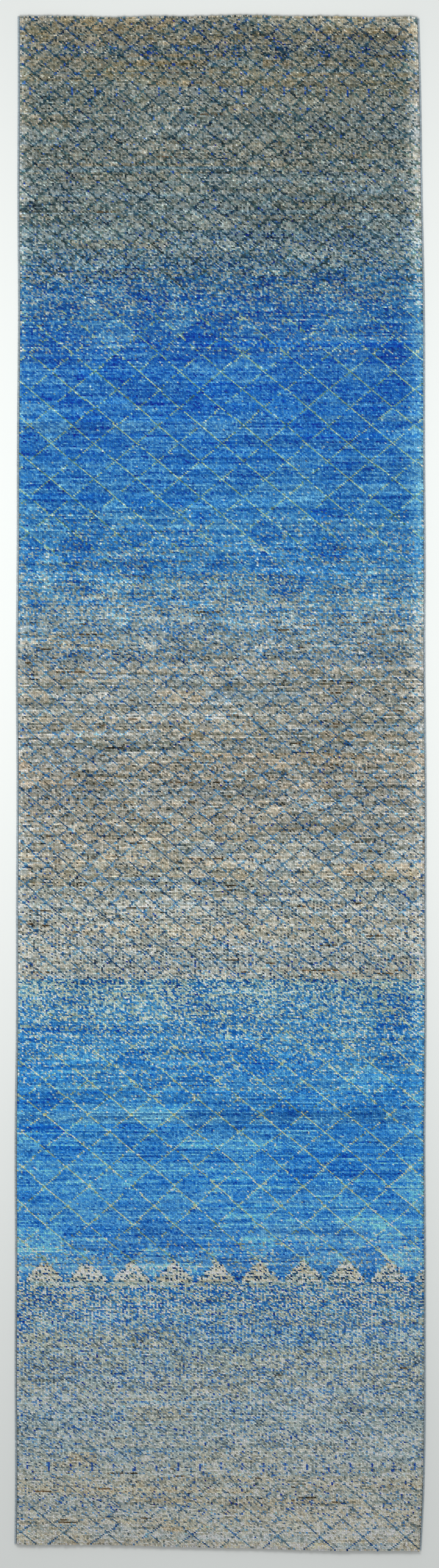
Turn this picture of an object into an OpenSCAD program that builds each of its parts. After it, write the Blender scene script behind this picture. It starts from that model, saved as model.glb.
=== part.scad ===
// Hand-knotted wool runner rug, lying flat.
// X is the width, Y the length (+Y is the far end), Z is up; the origin is on the floor under the rug's centre.
// Layers from the floor up: knot loops, lower warps, cable wefts, upper warps, thin wefts, pile.

/* [Rug] */
// Overall width, selvages included
rug_w = 800; // [500:1:1200]
// Overall length
rug_l = 3000; // [2400:1:4200]
// Height of the cut pile above the foundation
pile_h = 8; // [4:0.5:15]

/* [Weave] */
// Width of one knot, which holds one upper and one lower warp
knot_pitch = 3.5; // [2.5:0.1:6]
// Length of one row of knots
row_pitch = 2.92; // [2:0.01:6]
// Thickness of the knot loops that show on the back
loop_t = 0.9; // [0.6:0.1:2]
// Diameter of a warp thread
warp_d = 1; // [0.6:0.1:1.4]
// Diameter of the straight cable weft
cable_weft_d = 0.9; // [0.5:0.1:1.2]
// Diameter of the thin weft
thin_weft_d = 0.5; // [0.3:0.1:0.8]

/* [Selvages] */
// Diameter of the bundle of edge warps inside a selvage
core_d = 2.8; // [2:0.1:4]
// Thickness of the yarn overcast round that bundle
overcast_t = 0.8; // [0.5:0.1:1]
// Gap between a selvage and the pile beside it
selvage_gap = 0.3; // [0.2:0.1:1]

/* [Ends] */
// Width of the flat-woven band folded under each end
hem_w = 30; // [15:1:60]
// Distance from the hem's inner edge to the first knot loops
stitch_gap = 2; // [1:0.5:4]
// Distance between hem stitches
stitch_pitch = 8; // [5:1:20]
// Diameter of the hemming thread
stitch_d = 0.6; // [0.4:0.1:0.8]
// Diameter of one strand of the twining across each end
twine_d = 1.5; // [1:0.1:1.8]

/* [Colour fields, from the far end] */
// Far border, taupe with a navy lattice
far_border_l = 118; // [60:1:160]
// Grey and teal field
grey_teal_l = 364; // [200:1:420]
// Blue field with the large lattice
far_blue_l = 466; // [300:1:520]
// Blue field with speckles, fading to taupe
blue_speckle_l = 160; // [100:1:240]
// Taupe field with dots
taupe_dotted_l = 172; // [100:1:240]
// Band of blue and cream speckles
speckle_band_l = 103; // [60:1:160]
// Second blue field with the large lattice
near_blue_l = 444; // [300:1:500]
// Row of triangles
triangle_row_l = 46; // [30:1:80]
// Grey and beige field
near_field_l = 406; // [250:1:460]
// Near border, beige with a blue lattice
near_border_l = 119; // [60:1:160]

/* [Hidden] */

$fn = 24;

// Widths
selvage_d = core_d + 2 * overcast_t;
weave_w = rug_w - 2 * selvage_d;
pile_w = weave_w - 2 * selvage_gap;
knots = floor(pile_w / knot_pitch);

// Heights of the layers
lower_warp_z = loop_t + warp_d / 2;
cable_weft_z = loop_t + warp_d + cable_weft_d / 2;
upper_warp_z = loop_t + warp_d + cable_weft_d + warp_d / 2;
thin_weft_z = loop_t + 2 * warp_d + cable_weft_d + thin_weft_d / 2;
pile_z = loop_t + 2 * warp_d + cable_weft_d + thin_weft_d;
selvage_z = max(cable_weft_z, selvage_d / 2);

// Lengths
weave_l = rug_l - 2 * twine_d;
rows = floor(weave_l / row_pitch);
hem_l = hem_w - twine_d;
// The taupe field with the small lattice is as long as the other fields leave room for
taupe_lattice_l = rug_l - far_border_l - grey_teal_l - far_blue_l - blue_speckle_l - taupe_dotted_l
    - speckle_band_l - near_blue_l - triangle_row_l - near_field_l - near_border_l;

// Start of each colour field, counted from the near end
triangle_y = near_border_l + near_field_l;
near_blue_y = triangle_y + triangle_row_l;
speckle_band_y = near_blue_y + near_blue_l;
taupe_dotted_y = speckle_band_y + speckle_band_l;
taupe_lattice_y = taupe_dotted_y + taupe_dotted_l;
blue_speckle_y = taupe_lattice_y + taupe_lattice_l;
far_blue_y = blue_speckle_y + blue_speckle_l;
grey_teal_y = far_blue_y + far_blue_l;
far_border_y = grey_teal_y + grey_teal_l;

// One colour field of cut pile, as the solid its tufts fill
module pile_field(start, length) {
    translate([-pile_w / 2, start - rug_l / 2, pile_z]) cube([pile_w, length, pile_h]);
}

module pile_far_border() { color("#7d7b6b") pile_field(far_border_y, far_border_l); }
module pile_grey_teal() { color("#6c7776") pile_field(grey_teal_y, grey_teal_l); }
module pile_far_blue() { color("#3a70af") pile_field(far_blue_y, far_blue_l); }
module pile_blue_speckle() { color("#4d81ab") pile_field(blue_speckle_y, blue_speckle_l); }
module pile_taupe_lattice() { color("#8a8f89") pile_field(taupe_lattice_y, taupe_lattice_l); }
module pile_taupe_dotted() { color("#8f9792") pile_field(taupe_dotted_y, taupe_dotted_l); }
module pile_speckle_band() { color("#6c90a7") pile_field(speckle_band_y, speckle_band_l); }
module pile_near_blue() { color("#4785b9") pile_field(near_blue_y, near_blue_l); }
module pile_triangle_row() { color("#7994a6") pile_field(triangle_y, triangle_row_l); }
module pile_near_field() { color("#808f95") pile_field(near_border_l, near_field_l); }
module pile_near_border() { color("#8f938e") pile_field(0, near_border_l); }

// Back of the knots: the layer of pile yarn that loops round the warps
module knot_loops() {
    loops_l = rug_l - 2 * (hem_w + stitch_gap);
    color("#7d8d96") translate([-pile_w / 2, -loops_l / 2, 0]) cube([pile_w, loops_l, loop_t]);
}

// One layer of warps; phase places them inside the knot, from 0 to 1
module warp_layer(z, phase) {
    for (i = [0:knots - 1]) {
        translate([(i + phase - knots / 2) * knot_pitch, weave_l / 2, z])
            rotate([90, 0, 0]) cylinder(d = warp_d, h = weave_l);
    }
}

module warps_lower() { color("#d9d2c0") warp_layer(lower_warp_z, 0.25); }
module warps_upper() { color("#d9d2c0") warp_layer(upper_warp_z, 0.75); }

// One layer of wefts; phase places them inside the row, from 0 to 1
module weft_layer(z, d, phase) {
    for (i = [0:rows - 1]) {
        translate([-weave_w / 2, (i + phase - rows / 2) * row_pitch, z])
            rotate([0, 90, 0]) cylinder(d = d, h = weave_w);
    }
}

module wefts_cable() { color("#8d99a3") weft_layer(cable_weft_z, cable_weft_d, 0.25); }
module wefts_thin() { color("#a3a39b") weft_layer(thin_weft_z, thin_weft_d, 0.75); }

// Bundle of edge warps; side is -1 for the left and 1 for the right
module selvage_core(side) {
    translate([side * (rug_w - selvage_d) / 2, rug_l / 2, selvage_z])
        rotate([90, 0, 0]) cylinder(d = core_d, h = rug_l);
}

module selvage_core_left() { color("#c9c4b6") selvage_core(-1); }
module selvage_core_right() { color("#c9c4b6") selvage_core(1); }

// Yarn overcast round the bundle, as the tube its turns fill
module selvage_overcast(side) {
    translate([side * (rug_w - selvage_d) / 2, rug_l / 2, selvage_z]) rotate([90, 0, 0])
        linear_extrude(rug_l) difference() {
            circle(d = selvage_d);
            circle(d = core_d);
        }
}

module selvage_overcast_left() { color("#6f8296") selvage_overcast(-1); }
module selvage_overcast_right() { color("#6f8296") selvage_overcast(1); }

// Two strands twined across an end, one above the other in front of the cut warps, halfway between the floor and
// the pile; end is -1 for the near end and 1 for the far
module twining(end) {
    for (level = [-0.5, 0.5]) {
        translate([-weave_w / 2, end * (rug_l - twine_d) / 2, pile_z / 2 + level * twine_d])
            rotate([0, 90, 0]) cylinder(d = twine_d, h = weave_w);
    }
}

module twining_far() { color("#8c8a80") twining(1); }
module twining_near() { color("#8c8a80") twining(-1); }

// Flat-woven band folded under an end, behind its twining
module hem(end) {
    translate([-pile_w / 2, end * (rug_l / 2 - twine_d - hem_l / 2) - hem_l / 2, 0]) cube([pile_w, hem_l, loop_t]);
}

module hem_far() { color("#b9b3a2") hem(1); }
module hem_near() { color("#b9b3a2") hem(-1); }

// Stitches that hold a hem's inner edge to the knots
module hem_stitches(end) {
    stitches = floor(pile_w / stitch_pitch);
    stitch_y = end * (rug_l / 2 - hem_w - stitch_gap / 2) + stitch_gap / 2;
    for (i = [0:stitches - 1]) {
        translate([(i + 0.5 - stitches / 2) * stitch_pitch, stitch_y, loop_t / 2])
            rotate([90, 0, 0]) cylinder(d = stitch_d, h = stitch_gap);
    }
}

module hem_stitches_far() { color("#e6e0d0") hem_stitches(1); }
module hem_stitches_near() { color("#e6e0d0") hem_stitches(-1); }

pile_far_border();
pile_grey_teal();
pile_far_blue();
pile_blue_speckle();
pile_taupe_lattice();
pile_taupe_dotted();
pile_speckle_band();
pile_near_blue();
pile_triangle_row();
pile_near_field();
pile_near_border();
knot_loops();
warps_lower();
wefts_cable();
warps_upper();
wefts_thin();
selvage_core_left();
selvage_core_right();
selvage_overcast_left();
selvage_overcast_right();
twining_far();
twining_near();
hem_far();
hem_near();
hem_stitches_far();
hem_stitches_near();
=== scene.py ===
"""Looks of the hand-knotted runner rug: every knot is a tuft of its own, in the yarn that its place in the
pattern gives it.

X is the width, Y the length (+Y is the far end), Z is up, in metres. Knots are counted as (row, column): rows
from the far end, columns from the left.
"""

import math

import bpy
import numpy as np
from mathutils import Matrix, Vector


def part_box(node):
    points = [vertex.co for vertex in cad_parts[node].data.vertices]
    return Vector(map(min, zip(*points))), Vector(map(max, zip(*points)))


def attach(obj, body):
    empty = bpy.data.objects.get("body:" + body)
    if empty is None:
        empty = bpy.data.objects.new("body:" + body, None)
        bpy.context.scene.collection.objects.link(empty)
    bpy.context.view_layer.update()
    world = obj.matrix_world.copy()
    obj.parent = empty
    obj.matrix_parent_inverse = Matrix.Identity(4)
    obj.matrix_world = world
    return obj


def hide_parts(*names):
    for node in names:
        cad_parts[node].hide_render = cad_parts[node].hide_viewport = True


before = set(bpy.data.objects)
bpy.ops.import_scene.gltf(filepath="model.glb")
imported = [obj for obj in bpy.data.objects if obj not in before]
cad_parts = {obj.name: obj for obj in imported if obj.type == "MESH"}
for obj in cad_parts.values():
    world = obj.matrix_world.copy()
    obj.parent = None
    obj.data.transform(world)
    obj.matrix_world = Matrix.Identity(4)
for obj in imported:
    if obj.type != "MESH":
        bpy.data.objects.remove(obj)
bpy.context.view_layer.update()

# -------------------- sizes

MM = 0.001
SEED = 67

FIELDS = [  # pile fields from the far end to the near end: CAD node without "pile_", and its material slot
    ("far_border", "pile_taupe"),
    ("grey_teal", "pile_grey_teal"),
    ("far_blue", "pile_blue"),
    ("blue_speckle", "pile_blue_speckle"),
    ("taupe_lattice", "pile_taupe"),
    ("taupe_dotted", "pile_taupe"),
    ("speckle_band", "pile_blue_speckle"),
    ("near_blue", "pile_blue"),
    ("triangle_row", "pile_grey_beige"),
    ("near_field", "pile_grey_beige"),
    ("near_border", "pile_beige"),
]

KNOT_PITCH = 3.5 * MM
ROW_PITCH = 2.92 * MM
pile_low, pile_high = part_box("pile_near_border")
far_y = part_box("pile_far_border")[1].y
near_y = pile_low.y
pile_x = pile_high.x
pile_z = pile_low.z
pile_top = pile_high.z
loop_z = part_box("knot_loops")[1].z
edge_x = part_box("selvage_overcast_right")[1].x
length = far_y - near_y
# Rounded, so each is one more than the CAD's count, which is rounded down.
KNOTS = round(2 * pile_x / KNOT_PITCH)
ROWS = round(length / ROW_PITCH)
knot_w = 2 * pile_x / KNOTS
row_l = length / ROWS

# a heavier mesh would be thinned out when it is exported
FACES_PER_PIECE = 190_000  # the most triangles in one mesh of the pile or of the knots' backs, besides its base


def row_of(y):
    """The row boundary nearest to a place along the rug."""
    return round((far_y - y) / row_l)


START = {name: row_of(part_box("pile_" + name)[1].y) for name, _ in FIELDS}
END = {name: row_of(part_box("pile_" + name)[0].y) for name, _ in FIELDS}

# -------------------- seeded irregularity


def stream(name):
    """A random generator of its own for each use, so that one use doesn't change another."""
    return np.random.default_rng([SEED, *name.encode()])


def cloud(name, rows, cols, cell_rows, cell_cols):
    """Smooth noise over a grid, about -1 to 1, with features of the given size."""
    r, c = np.arange(rows) / cell_rows, np.arange(cols) / cell_cols
    values = stream(name).normal(0, 0.7, (int(r[-1]) + 2, int(c[-1]) + 2))
    r0, c0 = r.astype(int), c.astype(int)
    fr, fc = (r - r0)[:, None], (c - c0)[None]
    fr, fc = fr * fr * (3 - 2 * fr), fc * fc * (3 - 2 * fc)
    upper = values[r0][:, c0] * (1 - fc) + values[r0][:, c0 + 1] * fc
    lower = values[r0 + 1][:, c0] * (1 - fc) + values[r0 + 1][:, c0 + 1] * fc
    return upper * (1 - fr) + lower * fr


def runs(name, rows, cols, mean_length, mean_rows):
    """Noise that holds its value along a run of knots, in one row or a few, as a length of yarn does."""
    rng = stream(name)
    group = np.cumsum(rng.random(rows) < 1 / mean_rows)
    groups = group[-1] + 1
    run = np.cumsum(rng.random((groups, cols)) < 1 / mean_length, axis=None).reshape(groups, cols)
    return rng.normal(0, 1, run.max() + 1)[run][group]


# -------------------- hand-made outline


# Waves are (height in millimetres, radians over the length or over half the width, start).
EDGE_WAVES = [(0.8, 17, 0.6), (0.5, 41, 0)]
NEAR_WAVES = [(-4.5, 1.9, 0), (0.6, 9, 0)]
FAR_WAVES = [(1.3, 5, 1), (0.7, 14, 0)]
LEFT_OUT, LEFT_NARROWS = 2.5, 7.5  # mm outside the straight edge at the near end, and lost by the far end
RIGHT_OUT, RIGHT_WIDENS, RIGHT_NARROWS = 2.4, 2.6, 14.5  # the same; the narrowing is all near the far end
NEAR_PULL, NEAR_PULL_SHARE = 9 * MM, 0.12  # how far the right edge is drawn in near the end
BOW_REACH = 0.25  # metres from an end over which its bow dies away
NEAR_BOW, NEAR_TILT = 6.5, 2.5  # millimetres that the near end is drawn in, and how much less to the right
FAR_PULL, FAR_PULL_START = 5 * MM, 0.94  # how far the far right corner is drawn in, and from where


def waves(at, table):
    """Height of a sum of waves."""
    return sum(height * MM * np.sin(turn * at + start) for height, turn, start in table)


def half_widths(y):
    """How far the left and right edges lie from the middle line, at places along the rug."""
    s = (y - near_y) / length  # 0 at the near end, 1 at the far end
    wave = waves(s, EDGE_WAVES)
    left = edge_x + (LEFT_OUT - LEFT_NARROWS * s) * MM - wave
    pull = NEAR_PULL * np.clip(1 - s / NEAR_PULL_SHARE, 0, 1) ** 2
    right = edge_x + (RIGHT_OUT + RIGHT_WIDENS * s - RIGHT_NARROWS * s**5) * MM - pull + wave
    return left, right


def placed(x, y):
    """Moves places on the straight rug to where they lie on the hand-made one."""
    left, right = half_widths(y)
    u = x / edge_x
    new_x = (right - left) / 2 + u * (right + left) / 2
    near = np.clip(1 - (y - near_y) / BOW_REACH, 0, 1) ** 2
    far = np.clip(1 - (far_y - y) / BOW_REACH, 0, 1) ** 2
    near_bow = (NEAR_BOW - NEAR_TILT * u) * MM + waves(u, NEAR_WAVES)
    corner = np.clip((u - FAR_PULL_START) / (1 - FAR_PULL_START), 0, 1) ** 2
    return new_x, y + near * near_bow + far * (waves(u, FAR_WAVES) - FAR_PULL * corner)


# -------------------- meshes


class Skin:
    """Collects vertices, faces and what each carries, and makes one mesh of them."""

    def __init__(self):
        self.points, self.faces, self.yarns, self.maps = [], [], [], []
        self.count = 0

    def add(self, points):
        """Adds points of any array shape and returns their numbers in that shape."""
        points = np.asarray(points, float)
        shape = points.shape[:-1]
        self.points.append(points.reshape(-1, 3))
        first, self.count = self.count, self.count + self.points[-1].shape[0]
        return np.arange(first, self.count).reshape(shape)

    def face(self, corners, yarn, uv):
        """Adds faces: corners is (n, sides), yarn (n, 3) or (3,), and uv (n, sides, 2)."""
        corners = np.asarray(corners).reshape(-1, np.shape(corners)[-1])
        self.faces.append(corners)
        self.yarns.append(np.broadcast_to(yarn, (len(corners), 3)))
        self.maps.append(np.broadcast_to(uv, (*corners.shape, 2)))

    def object(self, name):
        """Makes the mesh object of what was collected."""
        mesh = bpy.data.meshes.new(name)
        points = np.concatenate(self.points)
        sides = np.concatenate([np.full(len(f), f.shape[1]) for f in self.faces])
        corners = np.concatenate([f.ravel() for f in self.faces])
        mesh.vertices.add(len(points))
        mesh.vertices.foreach_set("co", points.ravel())
        mesh.loops.add(len(corners))
        mesh.loops.foreach_set("vertex_index", corners)
        mesh.polygons.add(len(sides))
        mesh.polygons.foreach_set("loop_start", np.cumsum(sides) - sides)
        mesh.polygons.foreach_set("loop_total", sides)
        mesh.polygons.foreach_set("use_smooth", np.full(len(sides), True))
        uv = mesh.uv_layers.new(name="OFBake")
        uv.uv.foreach_set("vector", np.concatenate([m.reshape(-1, 2) for m in self.maps]).ravel())
        yarn = mesh.attributes.new("yarn", "FLOAT_VECTOR", "FACE")
        yarn.data.foreach_set("vector", np.concatenate(self.yarns).ravel())
        mesh.validate(clean_customdata=False)
        mesh.update()
        made = bpy.data.objects.new(name, mesh)
        bpy.context.scene.collection.objects.link(made)
        return made


def quads(grid):
    """The corners of every cell of a grid, anticlockwise where rows run down and columns right."""
    return np.stack([grid[1:, :-1], grid[1:, 1:], grid[:-1, 1:], grid[:-1, :-1]], -1)


RIM = 0.94  # share of a map's height that the patterned side takes; the back and sides take the rest


def cell_map(rows, cols, inset):
    """Corner places of every cell, or of a part inset in it, on a map cut into two halves."""
    half = (cols + 1) // 2
    r, c = np.meshgrid(np.arange(rows), np.arange(cols), indexing="ij")
    second = c >= half
    u0, v0 = (c - half * second) / half, (r / rows + second) / 2 * RIM
    du, dv = 1 / half, RIM / rows / 2
    fu = np.array([inset, 1 - inset, 1 - inset, inset])
    fv = np.array([1 - inset, 1 - inset, inset, inset])
    return np.stack([u0[..., None] + du * fu, v0[..., None] + dv * fv], -1)


def close(skin, grid, base_z, points, yarn, flip):
    """Closes a grid of vertices into a solid with a flat base at base_z."""
    rows, cols = grid.shape
    ring = np.concatenate([grid[0, :-1], grid[:-1, -1], grid[-1, :0:-1], grid[:0:-1, 0]])
    flat = points.reshape(-1, 3)[ring - grid[0, 0]].copy()
    flat[:, 2] = base_z
    base = skin.add(flat)
    n = len(ring)
    after = np.roll(np.arange(n), -1)
    skirt = np.stack([ring, ring[after], base[after], base], -1)
    # The skirt's strip of the map lies above the patterned side's, and the base's lies above the skirt's.
    u = np.arange(n) / n
    skirt_top = (1 + RIM) / 2
    skirt_u = np.stack([u, u + 1 / n, u + 1 / n, u], -1)
    skirt_v = np.broadcast_to([skirt_top, skirt_top, RIM, RIM], (n, 4))
    # The base is cut into strips from side to side; the first and the last take in all corners of their end.
    top_right, bottom_right = cols - 1, cols + rows - 2
    right = base[top_right:bottom_right + 1]
    left = np.roll(base[::-1], 1)[:rows]
    strips = rows - 1
    first = np.concatenate([base[:cols], right[1:2], left[1:2]])
    last = np.concatenate([left[-2:-1], right[-2:-1], base[bottom_right:bottom_right + cols]])
    middle = np.stack([left[1:-2], right[1:-2], right[2:-1], left[2:-1]], -1)

    def strip_map(k, corners):
        """A strip of the base, with its corners spread round the strip's place on the map."""
        turn = np.linspace(0, 2 * np.pi, corners, endpoint=False)
        v = skirt_top + (1 - skirt_top) * (0.5 + 0.5 * np.sin(turn))
        return np.stack([(k + 0.5 + 0.5 * np.cos(turn)) / strips, v], -1)

    for faces, where in (
        (skirt, np.stack([skirt_u, skirt_v], -1)),
        (first[None], strip_map(0, len(first))[None]),
        (last[None], strip_map(strips - 1, len(last))[None]),
        (middle, np.stack([strip_map(k + 1, 4) for k in range(len(middle))])),
    ):
        if flip:
            faces, where = faces[..., ::-1], where[..., ::-1, :]
        skin.face(faces, yarn, where)


CAP = 0.02  # share of a thread's map that each of its caps takes


def tubes(name, paths, radius, sides, yarns):
    """Threads along paths (n, points, 3), each a closed tube; yarns is (n, 3)."""
    skin = Skin()
    along = np.gradient(paths, axis=1)
    along /= np.linalg.norm(along, axis=-1, keepdims=True)
    up = np.array([0, 0, 1.0])
    side = np.cross(along, up)
    side /= np.linalg.norm(side, axis=-1, keepdims=True)
    over = np.cross(side, along)
    turn = np.linspace(0, 2 * np.pi, sides, endpoint=False)
    ring = side[:, :, None] * np.cos(turn)[:, None] + over[:, :, None] * np.sin(turn)[:, None]
    numbers = skin.add(paths[:, :, None] + radius * ring)
    n, m = paths.shape[:2]
    looped = np.concatenate([numbers, numbers[:, :, :1]], 2)
    walls = np.stack([looped[:, :-1, :-1], looped[:, :-1, 1:], looped[:, 1:, 1:], looped[:, 1:, :-1]], -1)
    # One column of the map for each thread, and a row for each stretch of it.
    t, k, s = np.meshgrid(np.arange(n), np.arange(m - 1), np.arange(sides), indexing="ij")
    u = (t[..., None] + (s[..., None] + np.array([0, 1, 1, 0])) / sides) / n
    v = CAP + (1 - 2 * CAP) * (k[..., None] + np.array([0, 0, 1, 1])) / (m - 1)
    skin.face(walls, np.repeat(yarns, (m - 1) * sides, 0), np.stack([u, v], -1).reshape(-1, 4, 2))
    cap = np.stack([0.5 + 0.5 * np.cos(turn), 0.5 + 0.5 * np.sin(turn)], -1)
    where = np.arange(n)[:, None, None] * np.array([1.0, 0]) + cap * np.array([1, CAP * n])
    skin.face(numbers[:, 0, ::-1], yarns, where[:, ::-1] / n)
    skin.face(numbers[:, -1], yarns, where / n + np.array([0, 1 - CAP]))
    return skin.object(name)


# -------------------- yarn colours

FULL_LIGHT_Y = 0.48  # where along the rug the lamp stands; the colours below are as they look right under it


def light(*rgb):
    """A colour from 0 to 255 as the screen shows it, or an array of them, in linear light."""
    c = np.array(rgb[0] if len(rgb) == 1 else rgb, float) / 255
    return np.where(c <= 0.04045, c / 12.92, ((c + 0.055) / 1.055) ** 2.4)


def dyed(keys):
    """A colour that changes along the rug: keys are (row, colour), and the dye fades from one to the next."""
    at = [row for row, _ in keys]
    channels = [np.interp(np.arange(ROWS), at, [rgb[k] for _, rgb in keys]) for k in range(3)]
    return np.stack(channels, -1)[:, None]


def level(keys):
    """A number that changes along the rug: keys are (row, number)."""
    return np.interp(np.arange(ROWS), [key[0] for key in keys], [key[1] for key in keys])[:, None]


BELL_FIT = 1.7  # with this factor the logistic curve follows the bell curve's sum


def even(noise):
    """Turns bell-shaped noise of spread 1 into chances spread evenly from 0 to 1."""
    return 1 / (1 + np.exp(-BELL_FIT * noise))


# The tables below are keys of (row, value), and the value changes evenly from one key to the next.

# Yarns that fade along the rug, in colours from 0 to 255
TAUPE = [
    (0, (142, 142, 130)), (40, (136, 139, 130)), (110, (132, 142, 141)), (165, (132, 150, 156)),
    (200, (130, 148, 154)), (380, (142, 158, 158)), (430, (152, 156, 149)), (520, (156, 155, 146)),
    (585, (168, 170, 161)), (643, (174, 179, 174)), (645, (158, 184, 182)), (690, (166, 192, 192)),
    (845, (180, 190, 180)), (880, (166, 182, 178)), (915, (174, 185, 181)), (940, (174, 184, 180)),
    (1000, (187, 187, 177)), (1026, (190, 188, 178)),
]
SLATE = [
    (0, (70, 80, 80)), (60, (73, 86, 85)), (140, (66, 86, 91)), (200, (30, 80, 138)),
    (330, (32, 82, 148)), (400, (76, 102, 120)), (480, (76, 79, 74)), (585, (74, 84, 88)),
    (640, (70, 88, 100)), (646, (34, 84, 130)), (656, (40, 94, 148)), (690, (42, 100, 156)),
    (830, (54, 114, 170)), (850, (70, 110, 134)), (900, (104, 124, 134)), (1000, (120, 130, 132)),
    (1026, (124, 134, 132)),
]
BLUE = [
    (0, (50, 80, 98)), (100, (50, 86, 108)), (140, (46, 92, 130)), (175, (40, 104, 156)),
    (215, (35, 104, 174)), (260, (40, 113, 182)), (330, (54, 124, 180)), (390, (66, 130, 176)),
    (440, (70, 124, 172)), (600, (48, 88, 132)), (645, (40, 112, 168)), (655, (50, 124, 184)),
    (700, (66, 146, 204)), (760, (64, 148, 214)), (800, (70, 149, 212)), (818, (80, 152, 210)),
    (832, (100, 164, 212)), (850, (46, 118, 178)), (900, (82, 134, 186)), (1026, (100, 146, 184)),
]
CREAM = [
    (0, (180, 178, 160)), (200, (146, 180, 184)), (380, (160, 186, 184)), (440, (186, 188, 172)),
    (645, (188, 202, 192)), (800, (184, 200, 194)), (860, (180, 192, 186)), (1026, (190, 190, 178)),
]
# Yarns of one colour
ROYAL = (42, 86, 164)
WARM = (0, -2, -8)  # what warmer yarn adds to a colour
HEART = (-9, -10, -14)  # what the yarn in the middle of a diamond adds to a colour
BROWN = (88, 76, 58)

# How much of the ground each yarn takes
SLATE_SHARE = [
    (0, 0.12), (45, 0.16), (120, 0.20), (163, 0.22), (185, 0.14), (220, 0.05), (340, 0.05), (400, 0.08),
    (440, 0.07), (575, 0.08), (600, 0.13), (643, 0.16), (646, 0.08), (700, 0.06), (830, 0.05), (850, 0.22),
    (900, 0.20), (985, 0.12), (1005, 0.09), (1026, 0.08),
]
BLUE_SHARE = [
    (0, 0.01), (130, 0.03), (163, 0.20), (180, 0.55), (205, 0.86), (235, 0.99), (325, 0.99),
    (345, 0.88), (372, 0.74), (395, 0.38), (420, 0.13), (445, 0.02), (570, 0.01), (600, 0.025),
    (643, 0.04), (644, 0.50), (665, 0.56), (682, 0.78), (705, 0.90), (735, 0.98), (815, 0.99),
    (835, 0.9), (846, 0.9), (847, 0.25), (852, 0.52), (880, 0.36), (900, 0.17), (960, 0.07),
    (1000, 0.04), (1026, 0.02),
]
CREAM_SHARE = [
    (0, 0.05), (165, 0.06), (190, 0.06), (225, 0.03), (238, 0.004), (325, 0.004), (340, 0.03),
    (385, 0.06), (440, 0.02), (580, 0.02), (640, 0.05), (646, 0.12), (680, 0.12), (710, 0.04),
    (738, 0.004), (806, 0.004), (812, 0.02), (824, 0.11), (834, 0.13), (870, 0.09), (985, 0.06),
    (1026, 0.05),
]
WARM_SHARE = [
    (0, 0.9), (10, 0.8), (16, 0.3), (28, 0.5), (40, 0.7), (60, 0.3), (130, 0.2), (170, 0), (440, 0),
    (470, 0.3), (585, 0.2), (643, 0.3), (644, 0), (940, 0), (980, 0.3), (1000, 0.3), (1012, 0.5),
    (1026, 0.5),
]
HEART_SHARE = [
    (0, 0.8), (40, 0.7), (60, 0.3), (160, 0.15), (190, 0), (440, 0), (460, 0.25), (580, 0.25),
    (600, 0.1), (643, 0), (960, 0), (985, 0.3), (1026, 0.4),
]
ROYAL_SHARE = [
    (0, 0.005), (165, 0.01), (200, 0), (580, 0.005), (643, 0.02), (650, 0), (846, 0), (850, 0.05),
    (900, 0.025), (975, 0.015), (988, 0.03), (998, 0.04), (1006, 0.005), (1026, 0),
]
# How many of the knots where lattice lines cross are royal blue
CROSSING_SHARE = [(0, 0.25), (10, 0.3), (34, 0.3), (60, 0.14), (165, 0.16), (190, 0), (1026, 0)]
# How much of the choice between blue and taupe is kept from one knot to the next
TIED_RUNS = [(0, 0.15), (640, 0.15), (645, 0.3), (690, 0.3), (720, 0.15), (846, 0.15), (850, 0), (1026, 0)]
# How much slate and blue knots keep to every fourth knot, staggered from row to row
APART = [(0, 0), (560, 0), (588, 0.8), (643, 0.8), (646, 0), (846, 0), (849, 0.4), (900, 0.5), (1026, 0.5)]
# How much slate gathers in long patches
PATCHES = [
    (0, 0.5), (150, 0.6), (175, 0.3), (570, 0.2), (640, 0.25), (646, 0.2), (845, 0.2), (850, 0.6),
    (1026, 0.5),
]
# How much the share of blue differs from row to row
LOT = [(0, 0.3), (640, 0.3), (646, 0.15), (700, 0.4), (846, 0.4), (850, 0.7), (880, 0.5), (1026, 0.5)]
# How much lots of yarn, used up over several rows, differ from each other in lightness
ABRASH = [
    (0, 0.05), (180, 0.05), (210, 0.1), (370, 0.09), (440, 0.05), (640, 0.05), (700, 0.12), (846, 0.12),
    (860, 0.05), (1026, 0.05),
]
# How far yarns differ from each other in lightness along runs in a row
STREAK = [
    (0, 0.07), (165, 0.08), (200, 0.12), (330, 0.13), (400, 0.12), (440, 0.16), (585, 0.15),
    (640, 0.08), (690, 0.08), (730, 0.16), (830, 0.16), (850, 0.09), (1026, 0.09),
]
# Painted light: how much lighter the yarn is made along the edges, in place of the light that catches the
# splayed edge tufts and against the shadow at the rim; the last is for the far and the near end
LEFT_PAINTED_LIGHT = [(0, 0.30), (130, 0.45), (220, 0.15), (400, 0.2), (580, 0.28), (700, 0.05), (1026, 0)]
RIGHT_PAINTED_LIGHT = [(0, 0.55), (160, 0.55), (260, 0.4), (520, 0.30), (640, 0.24), (780, 0.15), (830, 0), (1026, 0)]
END_PAINTED_LIGHT = (0.24, 0.2)
# Runs of brown yarn: the higher the number, the fewer
BROWN_ABOVE = [
    (0, 3.2), (165, 3), (185, 9), (375, 9), (385, 2.5), (430, 2.2), (600, 2.2), (640, 2.4), (648, 9),
    (844, 9), (846, 1.9), (848, 1.9), (849, 9), (862, 9), (870, 2.9), (960, 2.8), (975, 2.2),
    (1005, 2.3), (1026, 3),
]
# How much lighter the yarn is than the pile looks, with the shade between its tufts
PILE_GAIN = [
    (0, 1.17), (90, 1.17), (180, 1.10), (250, 1.13), (500, 1.15), (560, 1.25), (620, 1.26), (650, 1.17),
    (760, 1.2), (800, 1.28), (830, 1.45), (1026, 1.5),
]

# Rows by which the drawing runs late where knots were beaten down more or less
SLIP = [
    (0, 0), (480, 0), (512, -4), (560, -4), (600, -2), (640, 0), (690, 1), (722, -1), (760, -3),
    (805, 0), (1026, 0),
]

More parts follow.
